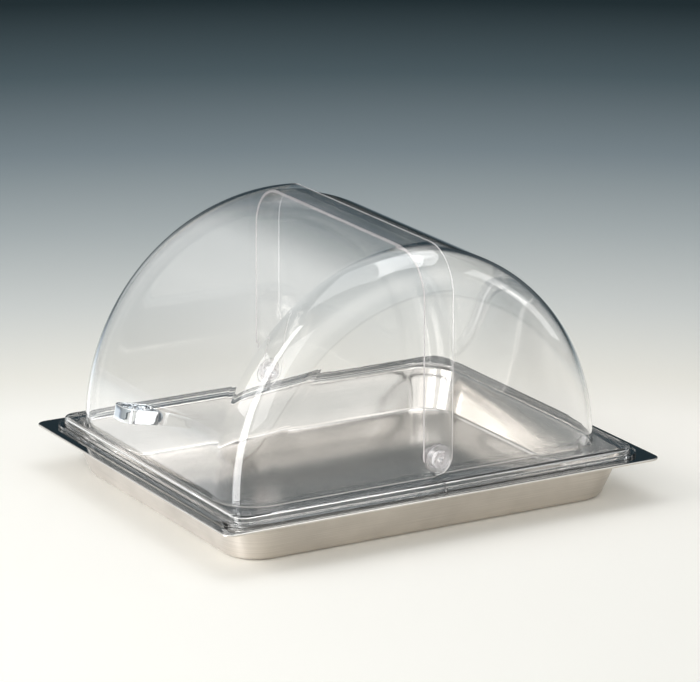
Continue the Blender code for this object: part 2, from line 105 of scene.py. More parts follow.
ROLLING = dict(side=-1, centre=0.0, radius=201 * MM, depth=158 * MM, overlap=16 * MM, boss=0.0)
FIXED = dict(side=1, centre=-13.8 * MM, radius=197 * MM, depth=152.5 * MM, overlap=10 * MM, boss=2.7 * MM)

# %% [markdown]
# ## From numbers to a mesh
# Every surface here is a grid of points worked out at once with numpy. Several grids that share their edges
# make one closed piece: their points are merged, and the faces are turned outwards. A map of real distances
# along the grid goes with each face, which later carries the grain of the rolled sheet.

# %% Arcs and lines


def arc(centre, radius, start, end, steps):
    """Points centre + radius * (cos a, sin a), for angles a in degrees from start to end."""
    a = np.radians(np.linspace(start, end, steps + 1))
    return np.column_stack((centre[0] + radius * np.cos(a), centre[1] + radius * np.sin(a)))


def line(start, end, steps):
    """Evenly spaced points from start to end, ends included."""
    share = np.linspace(0, 1, steps + 1)[:, None]
    return (1 - share) * np.asarray(start, float) + share * np.asarray(end, float)


print("a quarter circle in two steps:", arc((0, 0), 1, 0, 90, 2).round(3).tolist())

# %% One closed mesh from several grids
SHARP_ANGLE = 35


def make_piece(name, patches, materials, crease=0.0, merge=2e-6):
    """One closed mesh from patches of (grid, slot). A face joins points (i, j), (i, j+1), (i+1, j+1), (i+1, j).

    The map of a face corner is its distance along the grid's rows and columns, in metres.
    """
    points, faces, slots, uv = [], [], [], []
    start = 0
    for grid, slot in patches:
        rows, columns = grid.shape[:2]
        index = start + np.arange(rows * columns).reshape(rows, columns)
        quads = np.stack((index[:-1, :-1], index[:-1, 1:], index[1:, 1:], index[1:, :-1]), axis=-1)
        along = np.zeros((rows, columns))
        along[:, 1:] = np.linalg.norm(np.diff(grid, axis=1), axis=2).max(axis=0).cumsum()
        across = np.zeros((rows, columns))
        across[1:] = np.linalg.norm(np.diff(grid, axis=0), axis=2).max(axis=1).cumsum()[:, None]
        points.append(grid.reshape(-1, 3))
        faces.append(quads.reshape(-1, 4))
        slots.append(np.full(quads.shape[0] * quads.shape[1], slot))
        uv.append(np.stack((along, across), axis=-1).reshape(-1, 2))
        start += rows * columns
    faces = np.concatenate(faces)
    mesh = bpy.data.meshes.new(name)
    mesh.from_pydata(np.concatenate(points).tolist(), [], faces.tolist())
    mesh.polygons.foreach_set("material_index", np.concatenate(slots).astype(np.int32))
    layer = mesh.uv_layers.new(name="distance")
    layer.data.foreach_set("uv", np.concatenate(uv)[faces.reshape(-1)].ravel())
    work = bmesh.new()
    work.from_mesh(mesh)
    bmesh.ops.remove_doubles(work, verts=work.verts, dist=merge)
    bmesh.ops.dissolve_degenerate(work, edges=work.edges, dist=merge)
    bmesh.ops.recalc_face_normals(work, faces=work.faces)
    if work.calc_volume(signed=True) < 0:
        bmesh.ops.reverse_faces(work, faces=work.faces)
    open_edges = sum(1 for edge in work.edges if len(edge.link_faces) != 2)
    work.to_mesh(mesh)
    work.free()
    mesh.polygons.foreach_set("use_smooth", np.ones(len(mesh.polygons), dtype=bool))
    for material in materials:
        mesh.materials.append(material)
    piece = bpy.data.objects.new(name, mesh)
    bpy.context.scene.collection.objects.link(piece)
    if crease:
        bevel = piece.modifiers.new("polished_edges", "BEVEL")
        bevel.width = crease
        bevel.segments = 2
        bevel.limit_method = "ANGLE"
        bevel.angle_limit = math.radians(SHARP_ANGLE)
        bevel.harden_normals = True
    print(f"{name}: {len(mesh.polygons)} faces, {open_edges} open edges")
    return piece


# %% [markdown]
# ## Camera
# The photograph looks down 16 degrees on the front left corner from far away, with a long lens. The place and
# lens were found by fitting the corners of tray and cover to the picture, so the frame needs no shift.

# %% Camera
CAMERA_AZIMUTH, CAMERA_ELEVATION = math.radians(-29.68), math.radians(16.18)
CAMERA_TARGET = np.array((6.15, 0.0, 132.16)) * MM
CAMERA_DISTANCE = 3782 * MM
SENSOR_WIDTH, FOCAL_PIXELS, PICTURE_PIXELS = 36, 4202, 700
NEAREST, FARTHEST = 0.1, 100
back = np.array(
    (
        math.sin(CAMERA_AZIMUTH) * math.cos(CAMERA_ELEVATION),
        -math.cos(CAMERA_AZIMUTH) * math.cos(CAMERA_ELEVATION),
        math.sin(CAMERA_ELEVATION),
    )
)
camera_data = bpy.data.cameras.new("camera")
camera_data.sensor_width = SENSOR_WIDTH
camera_data.lens = FOCAL_PIXELS / PICTURE_PIXELS * SENSOR_WIDTH
camera_data.clip_start, camera_data.clip_end = NEAREST, FARTHEST
camera = bpy.data.objects.new("camera", camera_data)
camera.location = CAMERA_TARGET + CAMERA_DISTANCE * back
camera.rotation_euler = (math.pi / 2 - CAMERA_ELEVATION, 0, CAMERA_AZIMUTH)
bpy.context.scene.collection.objects.link(camera)
bpy.context.scene.camera = camera
bpy.context.scene.view_settings.view_transform = "Standard"
print("camera at", [round(v, 3) for v in camera.location])

# %% [markdown]
# ## The table
# A clear cover shows what stands behind it, so the background matters more than usual. The table is a wide
# disc, cream near the tray and darker further off: the darkening is painted shade, as of a paper sweep that
# leaves the light. Its colour is a ramp on the distance, in metres, from a point just before the tray.
#
# Left of the tray the table is lit beyond white. A picture can't show how far beyond, but the steel wall
# beside it mirrors it. So there the paper gives off a little extra light that only mirrors see.

# %% Colour of the table by distance
NEAR_POINT = (-0.570, -0.999, 0.0)
RAMP_LENGTH = 6.0
# Cream near the tray, then painted shade: the farther table darkens as if the light fell off.
table_colours_with_painted_shade = (
    (0.0, "FDFCF7"),
    (1.38, "FDFCF7"),
    (1.51, "EFEEE7"),
    (1.76, "D5D9D8"),
    (2.07, "B1BABD"),
    (2.43, "84929A"),
    (2.86, "51636B"),
    (3.33, "12282F"),
    (3.9, "0C1F27"),
    (5.9, "07171D"),
)
table_material, tree = new_material("cream_table_paper")
place = add_node(tree, "ShaderNodeTexCoord")
centred = add_node(
    tree,
    "ShaderNodeMapping",
    {"Vector": place.outputs["Object"], "Location": tuple(-v for v in NEAR_POINT)},
)
reach = add_node(tree, "ShaderNodeVectorMath", {0: centred.outputs[0]}, operation="LENGTH")
share = add_node(tree, "ShaderNodeMath", {0: reach.outputs["Value"], 1: RAMP_LENGTH}, operation="DIVIDE")
ramp = add_node(tree, "ShaderNodeValToRGB", {0: share.outputs[0]})
for distance, _ in table_colours_with_painted_shade[1:-1]:
    ramp.color_ramp.elements.new(distance / RAMP_LENGTH)
for element, (distance, code) in zip(ramp.color_ramp.elements, table_colours_with_painted_shade):
    element.position = distance / RAMP_LENGTH
    element.color = colour(code)
print("the table turns dark from", table_colours_with_painted_shade[1][0], "to", table_colours_with_painted_shade[-1][0], "m")

# %% Paper that mirrors see beyond white on the left
BEYOND_WHITE = 0.44
LEFT_OF_TRAY, PAST_CORNER = (-0.165, -0.195), (-0.20, -0.11)
path = add_node(tree, "ShaderNodeLightPath")
spot = add_node(tree, "ShaderNodeSeparateXYZ", {0: place.outputs["Object"]})
beside = add_node(
    tree,
    "ShaderNodeMapRange",
    {
        "Value": spot.outputs["X"],
        "From Min": LEFT_OF_TRAY[0],
        "From Max": LEFT_OF_TRAY[1],
        "To Min": 0.0,
        "To Max": BEYOND_WHITE,
    },
)
past_corner = add_node(
    tree,
    "ShaderNodeMapRange",
    {"Value": spot.outputs["Y"], "From Min": PAST_CORNER[0], "From Max": PAST_CORNER[1]},
)
extra = add_node(
    tree, "ShaderNodeMath", {0: beside.outputs[0], 1: past_corner.outputs[0]}, operation="MULTIPLY"
)
mirrored_extra = add_node(
    tree, "ShaderNodeMath", {0: path.outputs["Is Glossy Ray"], 1: extra.outputs[0]}, operation="MULTIPLY"
)
paper = add_node(
    tree,
    "ShaderNodeBsdfPrincipled",
    {
        "Base Color": ramp.outputs[0],
        "Roughness": 0.7,
        "Specular IOR Level": 0.1,
        "Emission Color": colour("EAF2FF"),
        "Emission Strength": mirrored_extra.outputs[0],
    },
)
add_node(tree, "ShaderNodeOutputMaterial", {"Surface": paper.outputs[0]})
table_material.cycles.emission_sampling = "NONE"
print("extra light for mirrors:", BEYOND_WHITE)

# %% The disc itself
TABLE_RADIUS, TABLE_SIDES = 14.0, 96
turn = np.radians(np.linspace(0, 360, TABLE_SIDES + 1))
radii = np.array((0.0, 0.2, 0.5, 1.0, 2.0, 4.0, 8.0, TABLE_RADIUS))[:, None]
grid_size = (radii.size, turn.size)
table_grid = np.stack((radii * np.cos(turn), radii * np.sin(turn), np.zeros(grid_size)), axis=-1)
index = np.arange(radii.size * turn.size).reshape(grid_size)
quads = np.stack((index[:-1, :-1], index[1:, :-1], index[1:, 1:], index[:-1, 1:]), axis=-1)
table_mesh = bpy.data.meshes.new("table")
table_mesh.from_pydata(table_grid.reshape(-1, 3).tolist(), [], quads.reshape(-1, 4).tolist())
table_mesh.materials.append(table_material)
table = bpy.data.objects.new("table", table_mesh)
bpy.context.scene.collection.objects.link(table)
print("table radius", TABLE_RADIUS, "m,", len(table_mesh.polygons), "faces")

# %% [markdown]
# ## The air around the bin
# Two kinds of air surround the bin. An even pale one lights everything. Camera, mirrors and glass see another
# one, because a polished thing looks like its surroundings. Its shape comes from what the photograph's own
# mirrors show: nearly black where the flat rim mirrors it, dim to the far right and to the left behind, pale
# overhead, and brightest in front, where a studio keeps its lights.

# %% Even light, and the rays that see the other air
EVEN_LIGHT = 0.64
world = bpy.data.worlds.new("studio_air")
world.use_nodes = True
bpy.context.scene.world = world
tree = world.node_tree
tree.nodes.clear()
path = add_node(tree, "ShaderNodeLightPath")
seen = add_node(
    tree,
    "ShaderNodeMath",
    {0: path.outputs["Is Camera Ray"], 1: path.outputs["Is Glossy Ray"]},
    operation="MAXIMUM",
)
seen = add_node(
    tree, "ShaderNodeMath", {0: seen.outputs[0], 1: path.outputs["Is Transmission Ray"]}, operation="MAXIMUM"
)
even_light = add_node(tree, "ShaderNodeBackground", {"Color": colour("F2F2F0"), "Strength": EVEN_LIGHT})
print("even light:", EVEN_LIGHT)

# %% Colour of the seen air by height
glow_colours = ((0.10, "A3A8A9"), (0.55, "FBFAF7"), (0.65, "FBFAF7"), (0.90, "A6A8A8"))
direction = add_node(tree, "ShaderNodeTexCoord")
compass = add_node(tree, "ShaderNodeSeparateXYZ", {0: direction.outputs["Generated"]})
glow = add_node(tree, "ShaderNodeValToRGB", {0: compass.outputs["Z"]})
glow.color_ramp.interpolation = "EASE"
for level, _ in glow_colours[1:-1]:
    glow.color_ramp.elements.new(level)
for element, (level, code) in zip(glow.color_ramp.elements, glow_colours):
    element.position = level
    element.color = colour(code)
print("the air is palest between heights", glow_colours[1][0], "and", glow_colours[2][0])

# %% Where the seen air is dark, dim or bright
RIM_MIRRORS = (0.476, 0.834, 0.279)
ALL_DARK, ALL_LIT = 0.99, 0.87  # cosines of 8 and 30 degrees away from what the rim mirrors
toward_rim = add_node(
    tree,
    "ShaderNodeVectorMath",
    {0: direction.outputs["Generated"], 1: RIM_MIRRORS},
    operation="DOT_PRODUCT",
)
off_rim = add_node(
    tree,
    "ShaderNodeMapRange",
    {"Value": toward_rim.outputs["Value"], "From Min": ALL_DARK, "From Max": ALL_LIT},
    interpolation_type="SMOOTHSTEP",
)
fade = {}
for side, axis, begin, end, at_begin, at_end in (
    ("right", "X", 0.52, 0.80, 1.0, 0.15),
    ("left", "X", -0.20, -0.50, 1.0, 0.62),
    ("behind", "Y", 0.2, 0.6, 0.0, 1.0),
    ("front", "Y", -0.1, -0.7, 1.25, 1.9),
):
    fade[side] = add_node(
        tree,
        "ShaderNodeMapRange",
        {
            "Value": compass.outputs[axis],
            "From Min": begin,
            "From Max": end,
            "To Min": at_begin,
            "To Max": at_end,
        },
    )
left_behind = add_node(
    tree,
    "ShaderNodeMix",
    {0: fade["behind"].outputs[0], 2: 1.0, 3: fade["left"].outputs[0]},
    data_type="FLOAT",
)
lit = off_rim
for dimmer in (fade["right"], left_behind):
    lit = add_node(tree, "ShaderNodeMath", {0: lit.outputs[0], 1: dimmer.outputs[0]}, operation="MULTIPLY")
sky = add_node(
    tree, "ShaderNodeMix", {0: lit.outputs[0], 6: colour("27343B"), 7: glow.outputs[0]}, data_type="RGBA"
)
seen_air = add_node(
    tree, "ShaderNodeBackground", {"Color": sky.outputs[2], "Strength": fade["front"].outputs[0]}
)
air = add_node(
    tree, "ShaderNodeMixShader", {0: seen.outputs[0], 1: even_light.outputs[0], 2: seen_air.outputs[0]}
)
add_node(tree, "ShaderNodeOutputWorld", {"Surface": air.outputs[0]})
print("nodes in the air:", len(tree.nodes))

# %% [markdown]
# ## Lamps
# All six are plain area lamps that the camera doesn't see. The strongest stands on the left. Its image in the
# cover would be a hard white patch, so mirrors don't show it. Soft boxes overhead and to the front left make
# the pale lines on rounded edges and shape the tray's near corner, and one on the right fills that side. Two
# cards give no light and are only mirrored: a wide one overhead makes the crest's highlight, and a narrow one
# near the front left corner draws the white line down the rolling half's rounded end.

# %% Lamps
MIDDLE = (0, 0, 0.05)


def soft_lamp(name, place, aim, size, watts, lights=True, mirrored=True):
    """A rectangle of light at place that faces aim. It can be left out of plain light, or out of mirrors."""
    data = bpy.data.lights.new(name, "AREA")
    data.shape = "RECTANGLE"
    data.size, data.size_y = size
    data.energy = watts
    lamp = bpy.data.objects.new(name, data)
    lamp.location = place
    toward = np.asarray(aim, float) - np.asarray(place, float)
    lamp.rotation_euler = (
        math.acos(-toward[2] / np.linalg.norm(toward)),
        0,
        math.atan2(toward[0], -toward[1]) + math.pi,
    )
    lamp.visible_camera = False
    lamp.visible_diffuse = lights
    lamp.visible_glossy = mirrored
    bpy.context.scene.collection.objects.link(lamp)
    print(name, watts, "W")


soft_lamp("overhead_softbox", (0.1, 0.1, 1.9), MIDDLE, (1.5, 1.2), 7.0)
soft_lamp("overhead_card", (0.55, -0.05, 1.65), MIDDLE, (1.2, 0.7), 6, lights=False)
soft_lamp("left_softbox", (-1.6, 0.25, 1.0), MIDDLE, (1.0, 0.8), 11.5, mirrored=False)
soft_lamp("front_left_softbox", (-1.05, -1.05, 0.85), (-0.1, -0.1, 0.15), (0.7, 1.1), 3)
corner_card, near_corner = (-0.2674, -0.1693, 0.23), (-0.1747, -0.1318, 0.23)
soft_lamp("low_corner_card", corner_card, near_corner, (0.036, 0.46), 0.29, lights=False)
soft_lamp("right_card", (1.7, -0.5, 0.8), (0, 0, 0.1), (0.5, 1.2), 2.6)

# %% [markdown]
# ## Clear plastic
# The cover is moulded in clear styrene acrylonitrile, 2.5 mm thick, with an index of refraction of 1.57. Its
# wall is a real wall with two faces, so light bends in and out of it, and the rounded edges show dark and
# bright lines as they should. Rays that look for a lamp pass straight through, which keeps the tray and the
# table lit without noise. Fine scuffs blur the surface a little in patches, and a very low bump stands for
# the mould's own unevenness.
#
# Edges look different from the wall. A trimmed edge scatters light and is milky, the butted edges in the seam
# are painted dark grey as painted shade of the fine gap, and the turned pivots are a little less clear than the
# wall. So there are four clear plastics.

# %% Clear plastic
PLASTIC_IOR = 1.57
PATCH_SCALE, SCRATCH_SCALE = 14.0, 260.0  # patches 70 mm wide; scratches 4 mm, coarser than real, so they show


def clear_plastic(name, tint, scuffs, least=0.0, clear=1.0):
    """Clear wall with a faint tint that casts no shadow of its own.

    Its roughness goes from least to scuffs in patches. The share clear lets light through, and the rest is a
    matt surface of the tint's colour.
    """
    made, tree = new_material(name)
    place = add_node(tree, "ShaderNodeTexCoord")
    patches = add_node(
        tree, "ShaderNodeTexNoise", {"Vector": place.outputs["Object"], "Scale": PATCH_SCALE, "Detail": 3.0}
    )
    scratch = add_node(
        tree, "ShaderNodeTexNoise", {"Vector": place.outputs["Object"], "Scale": SCRATCH_SCALE, "Detail": 4.0}
    )
    rough = add_node(
        tree,
        "ShaderNodeMapRange",
        {"Value": patches.outputs[0], "From Min": 0.45, "From Max": 0.8, "To Min": least, "To Max": scuffs},
    )
    wave = add_node(tree, "ShaderNodeBump", {"Height": patches.outputs[0], "Strength": 0.01, "Distance": 0.004})
    fine = add_node(
        tree,
        "ShaderNodeBump",
        {"Height": scratch.outputs[0], "Strength": 0.01, "Distance": 0.0002, "Normal": wave.outputs[0]},
    )
    wall = add_node(
        tree,
        "ShaderNodeBsdfPrincipled",
        {
            "Base Color": colour(tint),
            "Roughness": rough.outputs[0],
            "IOR": PLASTIC_IOR,
            "Transmission Weight": clear,
            "Normal": fine.outputs[0],
        },
    )
    open_way = add_node(tree, "ShaderNodeBsdfTransparent", {"Color": colour("F8F6F5")})
    path = add_node(tree, "ShaderNodeLightPath")
    surface = add_node(
        tree,
        "ShaderNodeMixShader",
        {0: path.outputs["Is Shadow Ray"], 1: wall.outputs[0], 2: open_way.outputs[0]},
    )
    add_node(tree, "ShaderNodeOutputMaterial", {"Surface": surface.outputs[0]})
    return made


cover_plastic = clear_plastic("clear_moulded_styrene_acrylonitrile", "FFFFFF", 0.04)
edge_plastic = clear_plastic("clear_trimmed_plastic_edge", "FBF6F7", 0.30, 0.14, 0.45)
# The seam's butted edges are painted dark grey: painted shade of the fine gap between the halves.
seam_shade_plastic = clear_plastic("clear_butted_edge_painted_shade", "44474A", 0.30, 0.14, 0.5)
pivot_plastic = clear_plastic("clear_turned_pivot_plastic", "FDFCFD", 0.16, 0.02, 0.92)
four_plastics = (cover_plastic, edge_plastic, seam_shade_plastic, pivot_plastic)
print("clear plastics:", [made.name for made in four_plastics])

# %% [markdown]
# ## One half of the cover
# Each half is half a drum lying along Y, with a quarter-round rim of 40 mm at both ends. It stands on a low
# base with a ledge and a flange that rests on the tray's rim. The two halves meet in a fine seam below the
# pivots, and each has a round lobe about the pivot. It could be cut from a whole dome with Booleans, but that
# leaves long thin triangles, which clear plastic shows as streaks. A formula for the whole skin gives even
# faces instead.
#
# Both halves use one formula in a coordinate q, the distance from the seam towards the half's own side, so
# x = SEAM_X + side * q. The outer skin has the full sizes, the inner skin has each size less the wall, and
# narrow strips join the two along every free edge.

# %% Level rings of the base
ALONG, ROUND_CORNER, FLANK = 18, 20, 30  # faces along half the front, round a corner, and along the side
FILLET, ROOT = 1 * MM, 0.7 * MM


def half_ring(q_end, depth, corner, z):
    """A level line round one half: along the front, round a corner, along the side, and back along the rear."""
    a = np.radians(np.linspace(0, 90, ROUND_CORNER + 1))
    bend = np.column_stack((q_end - corner + corner * np.sin(a), -depth + corner - corner * np.cos(a)))
    front = line((SEAM_HALF, -depth), bend[0], ALONG)
    flank = line(bend[-1], (q_end, depth - corner), FLANK)
    half = np.concatenate((front[:-1], bend[:-1], flank[:-1]))
    rear = np.concatenate((bend[:0:-1], front[::-1])) * (1, -1)
    ring = np.concatenate((half, rear))
    return np.column_stack((ring, np.full(len(ring), z)))


def base_levels(half, wall):
    """Half sizes, corner radius and height of each ring, from the flange up to the base's rounded top."""
    shift = -half["side"] * SEAM_X
    base_end, base_depth = BASE_HALF[0] + shift - wall, BASE_HALF[1] - wall
    base_corner = BASE_CORNER - wall
    top = LEDGE_Z - wall
    flange = (FLANGE_HALF[0] + shift, FLANGE_HALF[1], FLANGE_CORNER)
    if wall:
        levels = [(*flange, FLANGE_Z)]
        levels += [(base_end, base_depth, base_corner, z) for z in np.linspace(FLANGE_Z, top - FILLET, 7)]
        bends = arc((-FILLET, top - FILLET), FILLET, 0, 90, 4)[1:]
    else:
        flange_top = FLANGE_Z + WALL
        levels = [(*flange, flange_top)]
        root = arc((ROOT, flange_top + ROOT), ROOT, 270, 180, 5)
        bends = np.concatenate((root, arc((-BASE_ROUND, top - BASE_ROUND), BASE_ROUND, 0, 90, 5)))
    return levels + [(base_end + d, base_depth + d, base_corner + d, z) for d, z in bends]


print("rings of the base, outside and inside:", [len(base_levels(ROLLING, wall)) for wall in (0.0, WALL)])

# %% The drum's end, and the lobe round the pivot
ROWS = 110  # faces from the base up to the free edge
BOSS_RADII = (9.5 * MM, 8.4 * MM, 7.3 * MM)
# Faces round the pivot beyond the lobe, rings between lobe and hole, and faces across the ledge.
REST_ROUND, FLAT_RINGS, LEDGE_STEPS = 16, 4, 3


def end_profile(radius, depth, corner):
    """Distance from the drum's axis and depth of each column: a quarter round, a straight run, its mirror."""
    a = np.radians(np.linspace(0, 90, ROUND_CORNER + 1))
    rho = radius - corner * (1 - np.sin(a))
    y = -(depth - corner * (1 - np.cos(a)))
    run = np.linspace(corner - depth, depth - corner, FLANK + 1)[1:-1]
    return np.concatenate((rho, np.full(len(run), radius), rho[::-1])), np.concatenate((y, run, -y[::-1]))


def lobe_path(overlap):
    """The edge by the pivot in (q, z): up the seam from the drum's axis, then round the pivot."""
    start = -90 + math.degrees(math.asin(SEAM_HALF / overlap))
    foot = PIVOT_Z - overlap * math.cos(math.asin(SEAM_HALF / overlap))
    rise = max(foot - ARCH_Z, 0.0)
    turn_length = overlap * math.radians(180 - start)
    upright = int(round(ROWS * rise / (rise + turn_length)))
    bend = arc((0, PIVOT_Z), overlap, start, 180, ROWS - upright)
    if upright:
        bend = np.concatenate((line((SEAM_HALF, ARCH_Z), bend[0], upright)[:-1], bend))
    return bend, start, upright


def pivot_rings(half, wall, round_lobe, start):
    """Rings on the flat end wall, from the lobe's edge in to the pivot's hole, with the boss on the outside."""
    overlap = half["overlap"]
    turned_part = np.degrees(np.arctan2(round_lobe[:, 1] - PIVOT_Z, round_lobe[:, 0]))
    turned_part[-1] = 180
    free_part = np.linspace(180, 360 + start, REST_ROUND + 1)[1:]
    angles = np.radians(np.concatenate((turned_part, free_part)))
    steps = [(overlap, 0.0), (overlap - 0.25 * MM, 0.0)]
    if half["boss"] and not wall:
        steps += [(BOSS_RADII[0], 0.0)] + [(r, half["boss"]) for r in BOSS_RADII]
    else:
        steps += [(r, 0.0) for r in np.linspace(overlap - 0.5 * MM, HOLE + 1 * MM, FLAT_RINGS)]
    steps.append((HOLE, steps[-1][1]))
    steps = np.array(steps)
    r, out = steps[:, :1], steps[:, 1:]
    y = -(half["depth"] - wall + out) + 0 * angles
    return np.stack((r * np.cos(angles), y, PIVOT_Z + r * np.sin(angles)), axis=-1)


print("faces up the seam under each lobe:", [lobe_path(half["overlap"])[2] for half in (ROLLING, FIXED)])

# %% The whole skin


def half_skin(half, wall):
    """Outer skin for wall = 0, inner skin for wall = WALL, as one grid, and the rings round the pivots.

    Above the base, column s has a distance rho(s) from the drum's axis and a depth y(s), both from the quarter
    round at the end: rho = R - c (1 - sin a), y = -(D - c (1 - cos a)). Row t lies at the angle t * alpha,
    where alpha is where q = q0 + rho cos(alpha) meets the free edge. The flat end wall between the lobe's edge
    and the quarter round is ruled straight.
    """
    q0, overlap = half["centre"], half["overlap"]
    radius, depth, corner = half["radius"] - wall, half["depth"] - wall, END_ROUND - wall
    rings = [half_ring(*level) for level in base_levels(half, wall)]
    ledge_z = LEDGE_Z - wall
    fillet = arc((FILLET, ledge_z + FILLET), FILLET, 270, 180, 5)
    foot = [half_ring(q0 + radius + d, depth + d, corner + d, z) for d, z in fillet]
    ledge = line(rings[-1].reshape(-1), foot[0].reshape(-1), LEDGE_STEPS).reshape(LEDGE_STEPS + 1, -1, 3)
    base = np.concatenate((np.array(rings), ledge[1:-1], np.array(foot if wall else foot[:-1])))

    rho, y = end_profile(radius, depth, corner)
    t = np.linspace(0, 1, ROWS + 1)[:, None]
    alpha = t * np.arccos((-overlap - q0) / rho)[None, :]
    arch = np.stack((q0 + rho * np.cos(alpha), y + 0 * alpha, ARCH_Z + rho * np.sin(alpha)), axis=-1)
    edge, start, upright = lobe_path(overlap)
    k = np.linspace(0, 1, ALONG + 1)[:-1][None, :, None]
    near = np.stack((edge[:, 0], np.full(ROWS + 1, -depth), edge[:, 1]), axis=-1)[:, None, :]
    front = (1 - k) * near + k * arch[:, :1, :]
    rear = front[:, ::-1] * (1, -1, 1)
    skin = np.concatenate((base, np.concatenate((front, arch, rear), axis=1)))
    rings = pivot_rings(half, wall, edge[upright:], start)
    return skin, rings, len(base) + upright + 1, len(edge) - upright


def to_world(grid, side):
    """q becomes x = SEAM_X + side * q."""
    return np.stack((SEAM_X + side * grid[..., 0], grid[..., 1], grid[..., 2]), axis=-1)


def strip(first, second, steps=1):
    """The narrow wall between two matching lines of points."""
    share = np.linspace(0, 1, steps + 1)[:, None, None]
    return (1 - share) * first[None] + share * second[None]


print("grid of one skin:", half_skin(ROLLING, 0.0)[0].shape)

# %% Both halves
POLISHED_EDGE = 0.35 * MM


def make_cover_half(name, half, cover):
    """Outer and inner skin, and the strips along seam, free edge, flange and pivot holes."""
    outer, outer_rings, seam_rows, round_points = half_skin(half, 0.0)
    inner, inner_rings, seam_rows, round_points = half_skin(half, WALL)
    walls = [outer, inner, strip(outer[0], inner[0])]
    trimmed = [strip(outer[-1], inner[-1])]
    butted = [strip(outer[:seam_rows, end], inner[:seam_rows, end]) for end in (0, -1)]
    free = slice(round_points - 1, None)
    for mirror in ((1, 1, 1), (1, -1, 1)):
        walls += [outer_rings * mirror, inner_rings * mirror]
        trimmed.append(strip(outer_rings[0, free] * mirror, inner_rings[0, free] * mirror))
        walls.append(strip(outer_rings[-1] * mirror, inner_rings[-1] * mirror))
    grids = [
        (to_world(grid, half["side"]), slot)
        for slot, patches in enumerate((walls, trimmed, butted))
        for grid in patches
    ]
    piece = make_piece(name, grids, [cover_plastic, edge_plastic, seam_shade_plastic], crease=POLISHED_EDGE)
    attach(piece, cover)
    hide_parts(cover)


make_cover_half("rolling_half", ROLLING, "rolling_cover")
make_cover_half("fixed_half", FIXED, "fixed_cover")

# %% [markdown]
# ## Steel, in three finishes
# The tray is drawn from one sheet of stainless steel. Its outside keeps the satin grain of the rolled sheet,
# which runs round the tray with the drawing. The inside is brushed finer. The rim is polished, so it mirrors
# the dark air behind the bin. All read the distance map: the grain is noise stretched more than a hundred
# times along it, and the shader spreads its reflections across the grain, which makes satin steel look soft
# from above.

# %% Steel finishes
GRAIN_SCALE = (9.0, 1500.0, 1.0)  # lines 110 mm long and 0.7 mm apart: real grain is finer and wouldn't show
STAIN_SCALE = 22.0  # stains about 45 mm across


def sheet_steel(name, tone, worn, rough, rough_worn, grain, spread):
    """Metal with grain along the sheet, faint stains, and a roughness that follows both."""
    made, tree = new_material(name)
    place = add_node(tree, "ShaderNodeTexCoord")
    along = add_node(tree, "ShaderNodeMapping", {"Vector": place.outputs["UV"], "Scale": GRAIN_SCALE})
    lines = add_node(tree, "ShaderNodeTexNoise", {"Vector": along.outputs[0], "Scale": 1.0, "Detail": 3.0})
    stains = add_node(
        tree, "ShaderNodeTexNoise", {"Vector": place.outputs["Object"], "Scale": STAIN_SCALE, "Detail": 5.0}
    )
    both = add_node(tree, "ShaderNodeMath", {0: lines.outputs[0], 1: stains.outputs[0]}, operation="ADD")
    mottle = add_node(tree, "ShaderNodeMapRange", {"Value": both.outputs[0], "From Min": 0.7, "From Max": 1.3})
    tint = add_node(
        tree,
        "ShaderNodeMix",
        {0: mottle.outputs[0], 6: colour(tone), 7: colour(worn)},
        data_type="RGBA",
    )
    stained = add_node(
        tree,
        "ShaderNodeMapRange",
        {"Value": stains.outputs[0], "From Min": 0.3, "From Max": 0.7, "To Min": rough, "To Max": rough_worn},
    )
    groove = add_node(
        tree,
        "ShaderNodeMath",
        {0: lines.outputs[0], 1: 0.10 * grain, 2: stained.outputs[0]},
        operation="MULTIPLY_ADD",
    )
    relief = add_node(
        tree, "ShaderNodeBump", {"Height": lines.outputs[0], "Strength": 0.10 * grain, "Distance": 0.0001}
    )
    run = add_node(tree, "ShaderNodeTangent", direction_type="UV_MAP", uv_map="distance")
    metal = add_node(
        tree,
        "ShaderNodeBsdfPrincipled",
        {
            "Base Color": tint.outputs[2],
            "Metallic": 1.0,
            "Roughness": groove.outputs[0],
            "Normal": relief.outputs[0],
            "Tangent": run.outputs[0],
            "Anisotropic": spread,
            "Anisotropic Rotation": 0.25,
        },
    )
    add_node(tree, "ShaderNodeOutputMaterial", {"Surface": metal.outputs[0]})
    return made


satin_steel = sheet_steel("satin_rolled_stainless_steel", "DFD8CF", "CAC3BA", 0.36, 0.42, 1.0, 0.8)
inside_steel = sheet_steel("fine_brushed_stainless_steel", "CFCCC8", "C6C3BF", 0.11, 0.14, 0.3, 0.25)
polished_steel = sheet_steel("polished_stainless_steel", "CDCBC8", "C4C1BD", 0.05, 0.09, 0.1, 0.3)
print("steel finishes:", [made.name for made in (satin_steel, inside_steel, polished_steel)])

# %% [markdown]
# ## The tray
# A drawn tray is one profile carried round a rounded rectangle: floor, wall, mouth, flat rim, and an edge
# folded back under itself. The corner radius changes with the distance from the edge: small at the rim,
# large at the mouth. One formula gives all of it, and the last ring closes into a line in mid floor.

# %% Paths with rounded corners


def rounded_path(corners, radii, steps):
    """A line through corners in a plane. At each inner corner an arc of its radius touches both runs."""
    corners = np.asarray(corners, float)
    path = [corners[:1]]
    for corner, before, after, radius in zip(corners[1:-1], corners[:-2], corners[2:], radii):
        into, out = before - corner, after - corner
        into, out = into / np.linalg.norm(into), out / np.linalg.norm(out)
        half = math.acos(np.clip(into @ out, -1, 1)) / 2
        centre = corner + (into + out) / np.linalg.norm(into + out) * radius / math.sin(half)
        first = corner + into * radius / math.tan(half) - centre
        last = corner + out * radius / math.tan(half) - centre
        sweep = math.pi - 2 * half
        share = np.linspace(0, 1, steps + 1)[:, None]
        blend = (np.sin((1 - share) * sweep) * first + np.sin(share * sweep) * last) / math.sin(sweep)
        path.append(centre + blend)
    path.append(corners[-1:])
    return np.concatenate(path)


